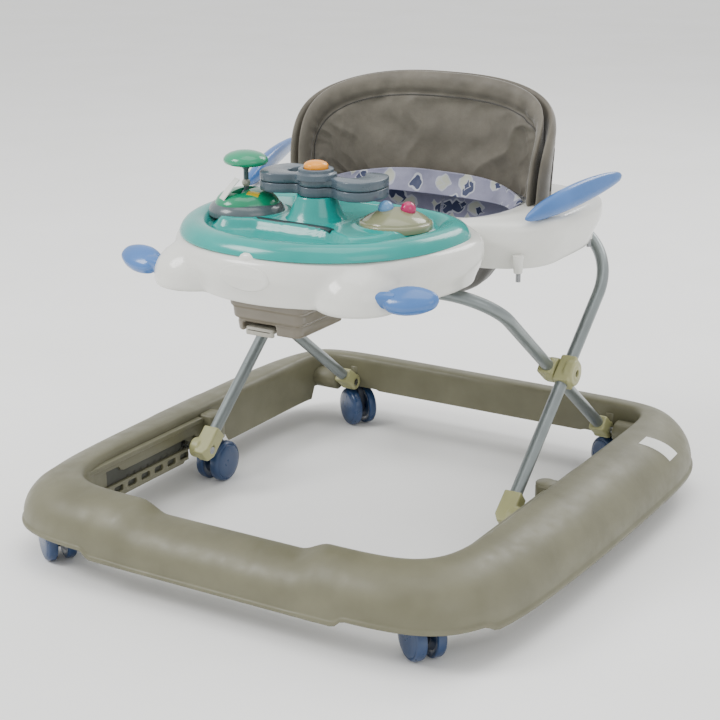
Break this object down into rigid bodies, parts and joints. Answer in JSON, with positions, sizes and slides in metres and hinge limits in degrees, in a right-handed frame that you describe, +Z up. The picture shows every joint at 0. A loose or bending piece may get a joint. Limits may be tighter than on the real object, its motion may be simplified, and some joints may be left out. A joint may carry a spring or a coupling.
{
  "type": "baby walker",
  "caption": "Folding baby walker: rounded base ring on twin swivel casters, scissor tube frame, play tray with toys and a padded sling seat.",
  "frame": {"origin": "on the floor under the middle of the base ring's bounding box", "axes": "+Z up; -Y is the front, where the toy tray is; +X is the child's left side when seated facing the tray, the viewer's right from the front"},
  "size_m": [0.6874, 0.7434, 0.559],
  "materials": {
    "base_plastic": "fine moulded grain, satin",
    "pin_steel": "zinc plated",
    "label": "blank matt sticker",
    "caster_plastic": "semi-gloss moulded",
    "tube_paint": "light silver-grey powder coat",
    "bracket_plastic": "cream moulded",
    "tray_plastic": "glossy moulded",
    "box_plastic": "glossy moulded",
    "handle_plastic": "glossy moulded",
    "fin_plastic": "glossy moulded",
    "panel_plastic": "glossy moulded",
    "slate_plastic": "satin moulded",
    "horn_plastic": "glossy moulded",
    "grey_plastic": "satin moulded",
    "green_plastic": "glossy moulded",
    "dome_plastic": "glossy, slightly pearled",
    "ball_blue": "glossy moulded",
    "ball_magenta": "glossy moulded",
    "seat_fabric": "satin weave, padded and gathered",
    "liner_fabric": "printed cotton with a plain shape pattern"
  },
  "bodies": {
    "base": {"base_ring": "base_plastic", "track_left": "base_plastic", "track_right": "base_plastic", "rear_hinge_pins": "pin_steel", "blank_label": "label"},
    "caster_front_left": {"fork_front_left": "caster_plastic"},
    "caster_front_right": {"fork_front_right": "caster_plastic"},
    "caster_mid_left": {"fork_mid_left": "caster_plastic"},
    "caster_mid_right": {"fork_mid_right": "caster_plastic"},
    "caster_rear_left": {"fork_rear_left": "caster_plastic"},
    "caster_rear_right": {"fork_rear_right": "caster_plastic"},
    "rollers_front_left": {"wheels_front_left": "caster_plastic"},
    "rollers_front_right": {"wheels_front_right": "caster_plastic"},
    "rollers_mid_left": {"wheels_mid_left": "caster_plastic"},
    "rollers_mid_right": {"wheels_mid_right": "caster_plastic"},
    "rollers_rear_left": {"wheels_rear_left": "caster_plastic"},
    "rollers_rear_right": {"wheels_rear_right": "caster_plastic"},
    "rear_frame": {"rear_tube_frame": "tube_paint", "rear_foot_brackets": "bracket_plastic", "scissor_pins": "pin_steel", "inner_pivot_blocks": "bracket_plastic"},
    "front_frame": {"front_tube_frame": "tube_paint", "front_foot_brackets": "bracket_plastic", "slider_pins": "pin_steel", "outer_pivot_blocks": "bracket_plastic"},
    "tray": {"tray_shell": "tray_plastic", "crossbar_clamps": "box_plastic", "under_tray_box": "box_plastic", "front_fin_left": "fin_plastic", "front_fin_right": "fin_plastic", "rear_fin_left": "fin_plastic", "rear_fin_right": "fin_plastic", "front_badge": "tray_plastic", "tray_screws": "pin_steel", "toy_panel": "panel_plastic", "steering_column": "panel_plastic", "lever_toy_skirt": "grey_plastic", "lever_toy_body": "green_plastic", "dome_toy_base": "grey_plastic", "dome_toy_cover": "dome_plastic", "seat_back": "seat_fabric", "seat_liner": "liner_fabric", "seat_sling": "seat_fabric", "release_pin": "pin_steel"},
    "release": {"release_handle": "handle_plastic"},
    "steering_wheel": {"steering_wheel_lower": "slate_plastic", "steering_wheel_upper": "slate_plastic", "horn_spring": "pin_steel"},
    "horn": {"horn_button": "horn_plastic"},
    "lever": {"lever_toy_stem": "handle_plastic", "lever_toy_handle": "green_plastic"},
    "blue_ball": {"large_ball": "ball_blue"},
    "pink_ball": {"small_ball": "ball_magenta"}
  },
  "joints": [
    {"name": "fold", "type": "hinge", "parent": "base", "child": "rear_frame", "pos_m": [0, 0.28773, 0.07081], "axis": [1, 0, 0], "range_deg": [0, 26]},
    {"name": "scissor", "type": "hinge", "parent": "rear_frame", "child": "front_frame", "pos_m": [0, 0.107, 0.2065], "axis": [1, 0, 0], "range_deg": [-55, 0]},
    {"name": "tray_level", "type": "hinge", "parent": "rear_frame", "child": "tray", "pos_m": [0, -0.06893, 0.33859], "axis": [1, 0, 0], "range_deg": [-26, 0]},
    {"name": "swivel_front_left", "type": "hinge", "parent": "base", "child": "caster_front_left", "pos_m": [-0.257, -0.316, 0.07], "axis": [0, 0, 1], "continuous": true},
    {"name": "roll_front_left", "type": "hinge", "parent": "caster_front_left", "child": "rollers_front_left", "pos_m": [-0.26192, -0.31256, 0.028], "axis": [0.5736, 0.8192, 0], "continuous": true},
    {"name": "swivel_front_right", "type": "hinge", "parent": "base", "child": "caster_front_right", "pos_m": [0.257, -0.316, 0.07], "axis": [0, 0, 1], "continuous": true},
    {"name": "roll_front_right", "type": "hinge", "parent": "caster_front_right", "child": "rollers_front_right", "pos_m": [0.25209, -0.31256, 0.028], "axis": [0.5736, 0.8192, 0], "continuous": true},
    {"name": "swivel_mid_left", "type": "hinge", "parent": "base", "child": "caster_mid_left", "pos_m": [-0.25, 0.003, 0.07], "axis": [0, 0, 1], "continuous": true},
    {"name": "roll_mid_left", "type": "hinge", "parent": "caster_mid_left", "child": "rollers_mid_left", "pos_m": [-0.25, 0.009, 0.028], "axis": [1, 0, 0], "continuous": true},
    {"name": "swivel_mid_right", "type": "hinge", "parent": "base", "child": "caster_mid_right", "pos_m": [0.25, 0.003, 0.07], "axis": [0, 0, 1], "continuous": true},
    {"name": "roll_mid_right", "type": "hinge", "parent": "caster_mid_right", "child": "rollers_mid_right", "pos_m": [0.25, 0.009, 0.028], "axis": [1, 0, 0], "continuous": true},
    {"name": "swivel_rear_left", "type": "hinge", "parent": "base", "child": "caster_rear_left", "pos_m": [-0.207, 0.3095, 0.07], "axis": [0, 0, 1], "continuous": true},
    {"name": "roll_rear_left", "type": "hinge", "parent": "caster_rear_left", "child": "rollers_rear_left", "pos_m": [-0.20191, 0.30632, 0.028], "axis": [-0.5299, -0.848, 0], "continuous": true},
    {"name": "swivel_rear_right", "type": "hinge", "parent": "base", "child": "caster_rear_right", "pos_m": [0.207, 0.3095, 0.07], "axis": [0, 0, 1], "continuous": true},
    {"name": "roll_rear_right", "type": "hinge", "parent": "caster_rear_right", "child": "rollers_rear_right", "pos_m": [0.21209, 0.30632, 0.028], "axis": [-0.5299, -0.848, 0], "continuous": true},
    {"name": "steer", "type": "hinge", "parent": "tray", "child": "steering_wheel", "pos_m": [0, -0.124, 0.465], "axis": [0, 0, 1], "range_deg": [-30, 30]},
    {"name": "horn_press", "type": "slide", "parent": "steering_wheel", "child": "horn", "axis": [0, 0, -1], "range_m": [0, 0.003], "stiffness_N_per_m": 400, "springref_m": -0.001},
    {"name": "lever_tilt", "type": "hinge", "parent": "tray", "child": "lever", "pos_m": [-0.097, -0.128, 0.442], "axis": [1, 0, 0], "range_deg": [-12, 12]},
    {"name": "release_squeeze", "type": "hinge", "parent": "tray", "child": "release", "pos_m": [0, -0.201, 0.311], "axis": [1, 0, 0], "range_deg": [-6, 0], "stiffness_Nm_per_rad": 0.3, "springref_deg": 11.46},
    {"name": "blue_ball_spin", "type": "hinge", "parent": "tray", "child": "blue_ball", "pos_m": [0.086, -0.109, 0.442], "axis": [0, 0, 1], "continuous": true},
    {"name": "pink_ball_spin", "type": "hinge", "parent": "tray", "child": "pink_ball", "pos_m": [0.11, -0.099, 0.441], "axis": [0, 0, 1], "continuous": true}
  ],
  "couplings": [
    {"joint": "scissor", "follows": "fold", "ratio": -2.098},
    {"joint": "tray_level", "follows": "fold", "ratio": -1}
  ]
}
